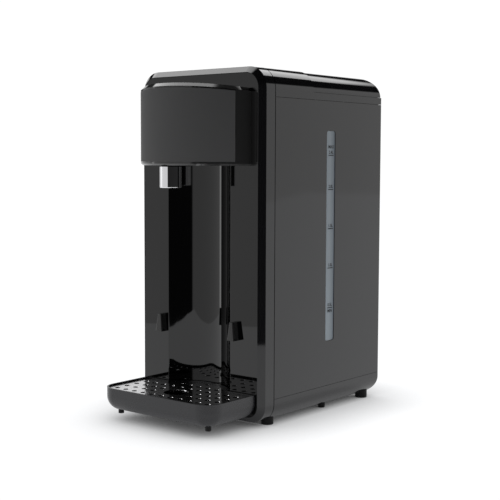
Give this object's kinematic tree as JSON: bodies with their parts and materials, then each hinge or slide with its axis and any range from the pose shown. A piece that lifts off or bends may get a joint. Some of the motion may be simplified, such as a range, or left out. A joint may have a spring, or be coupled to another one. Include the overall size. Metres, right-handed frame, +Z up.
{
  "type": "soda carbonator",
  "caption": "Upright tabletop soda carbonator with a drum head and nozzle, a bottle channel, a lift-off drip tray, a rear water tank under a hinged lid, and a gas cylinder behind a door.",
  "frame": {"origin": "on the floor below the middle of the overall width and depth", "axes": "+X is the right-hand side seen from the front, -Y is the front, +Z is up"},
  "size_m": [0.2, 0.3425, 0.43],
  "materials": {
    "gloss_black": "high gloss",
    "panel_gloss": "mirror gloss",
    "satin_black": "satin",
    "head_black": "gloss",
    "button_plastic": "satin",
    "tray_black": "fine satin",
    "chrome": "polished",
    "polished_steel": "polished",
    "vessel_steel": "brushed",
    "screw_steel": "zinc plated",
    "sheet_steel": "zinc coated",
    "rubber": "matt",
    "clear_strip": "clear",
    "clear_tank": "clear",
    "inner_plastic": "moulded",
    "inner_black": "moulded",
    "mesh_grey": "moulded",
    "motor_metal": "plated",
    "circuit_green": "lacquered",
    "switch_black": "moulded",
    "brass": "machined",
    "cylinder_aluminium": "satin",
    "regulator_metal": "cast",
    "hose_clear": "satin"
  },
  "bodies": {
    "housing": {"base_cover": "gloss_black", "base_screws": "screw_steel", "button_board": "circuit_green", "button_switches": "switch_black", "carbonation_chamber": "vessel_steel", "chamber_bracket": "vessel_steel", "chamber_cap": "inner_plastic", "cylinder_cradle": "inner_plastic", "cylinder_valve": "brass", "door_hinge_pins": "screw_steel", "front_frame": "gloss_black", "front_inner_wall": "sheet_steel", "front_panel": "panel_gloss", "gas_cylinder": "cylinder_aluminium", "gas_pipes": "hose_clear", "gas_regulator": "regulator_metal", "head_cap": "head_black", "head_front_cover": "satin_black", "head_housing": "head_black", "inlet_pins": "brass", "inner_mains_lead": "inner_black", "left_side_cover": "gloss_black", "level_window": "clear_strip", "lid_hinge_pins": "screw_steel", "main_feet": "rubber", "mains_inlet": "inner_black", "middle_feet": "rubber", "motor": "motor_metal", "nozzle": "chrome", "nozzle_insert": "inner_black", "nozzle_seal": "rubber", "power_board": "circuit_green", "pump": "inner_plastic", "pump_mounts": "rubber", "rear_inner_wall": "sheet_steel", "rear_panel": "gloss_black", "right_side_cover": "gloss_black", "solenoid_valves": "motor_metal", "switch_body": "inner_black", "tank_outlet_valve": "inner_plastic", "tank_shelf": "inner_plastic", "tank_strainer": "mesh_grey", "top_cover": "gloss_black", "top_deck": "inner_plastic", "tray_hooks": "head_black", "water_pipes": "hose_clear", "water_tank": "clear_tank"},
    "tank_lid": {"tank_lid": "gloss_black", "lid_inner_panel": "inner_plastic", "lid_seal": "rubber"},
    "rear_door": {"rear_door": "gloss_black"},
    "drip_tray": {"drip_tray": "tray_black", "tray_feet": "rubber"},
    "drip_grille": {"drip_grille": "polished_steel"},
    "power_rocker": {"power_rocker": "inner_black"},
    "motor_shaft": {"motor_shaft": "screw_steel"},
    "cylinder_collar": {"cylinder_collar": "inner_black"},
    "power_button": {"power_button": "button_plastic"},
    "water_button": {"water_button": "button_plastic"},
    "fizz_button": {"fizz_button": "button_plastic"}
  },
  "joints": [
    {"name": "lid_hinge", "type": "hinge", "parent": "housing", "child": "tank_lid", "pos_m": [0, 0.16825, 0.40365], "axis": [-1, 0, 0], "range_deg": [0, 95]},
    {"name": "door_hinge", "type": "hinge", "parent": "housing", "child": "rear_door", "pos_m": [-0.068, 0.16475, 0.23], "axis": [0, 0, 1], "range_deg": [0, 90]},
    {"name": "tray_lift", "type": "slide", "parent": "housing", "child": "drip_tray", "axis": [0, 0, 1], "range_m": [0, 0.026]},
    {"name": "grille_lift", "type": "slide", "parent": "drip_tray", "child": "drip_grille", "axis": [0, 0, 1], "range_m": [0, 0.03]},
    {"name": "collar_turn", "type": "hinge", "parent": "housing", "child": "cylinder_collar", "pos_m": [0, 0.12675, 0.348], "axis": [0, 0, 1], "range_deg": [0, 60]},
    {"name": "rocker_tilt", "type": "hinge", "parent": "housing", "child": "power_rocker", "pos_m": [0.045, 0.16475, 0.051], "axis": [-1, 0, 0], "range_deg": [0, 16]},
    {"name": "motor_spin", "type": "hinge", "parent": "housing", "child": "motor_shaft", "pos_m": [0, 0.04925, 0.045], "axis": [1, 0, 0], "continuous": true},
    {"name": "power_button_press", "type": "slide", "parent": "housing", "child": "power_button", "axis": [0, -0.0924, -0.9957], "range_m": [0, 0.0015], "stiffness_N_per_m": 600, "springref_m": -0.0005},
    {"name": "water_button_press", "type": "slide", "parent": "housing", "child": "water_button", "axis": [0, -0.0924, -0.9957], "range_m": [0, 0.0015], "stiffness_N_per_m": 600, "springref_m": -0.0005},
    {"name": "fizz_button_press", "type": "slide", "parent": "housing", "child": "fizz_button", "axis": [0, -0.0924, -0.9957], "range_m": [0, 0.0015], "stiffness_N_per_m": 600, "springref_m": -0.0005}
  ]
}
